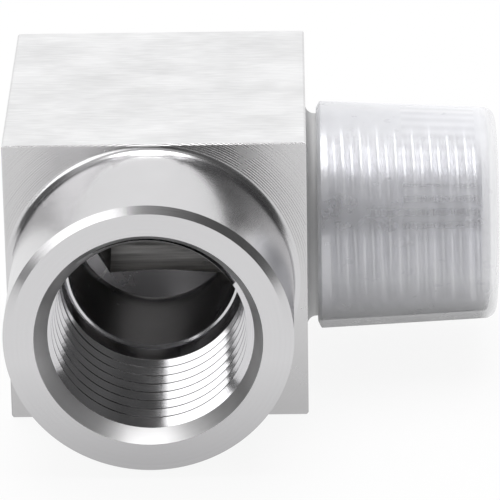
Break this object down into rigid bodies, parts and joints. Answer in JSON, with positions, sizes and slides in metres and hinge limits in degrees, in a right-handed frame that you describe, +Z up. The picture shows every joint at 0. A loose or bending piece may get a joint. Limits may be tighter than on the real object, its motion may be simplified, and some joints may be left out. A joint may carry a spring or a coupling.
{
  "type": "hydraulic elbow adapter",
  "caption": "Square-bodied 90 degree pipe elbow: a tapped taper-thread port on a turned boss, and a male taper-thread end under a translucent push-on cap.",
  "frame": {"origin": "on the block's flat bottom face, straight below the crossing of the two port axes", "axes": "+Z up, out of the block's top face; -Y out of the tapped port; +X out of the male port"},
  "size_m": [0.0506, 0.046, 0.0303],
  "materials": {
    "machined_steel": "machined, fine turning and milling marks",
    "milky_plastic": "translucent, soft polyethylene"
  },
  "bodies": {
    "elbow": {"elbow_body": "machined_steel"},
    "cap": {"thread_protector": "milky_plastic"}
  },
  "joints": [
    {"name": "cap_pull", "type": "slide", "parent": "elbow", "child": "cap", "axis": [1, 0, 0], "range_m": [0, 0.02]}
  ]
}
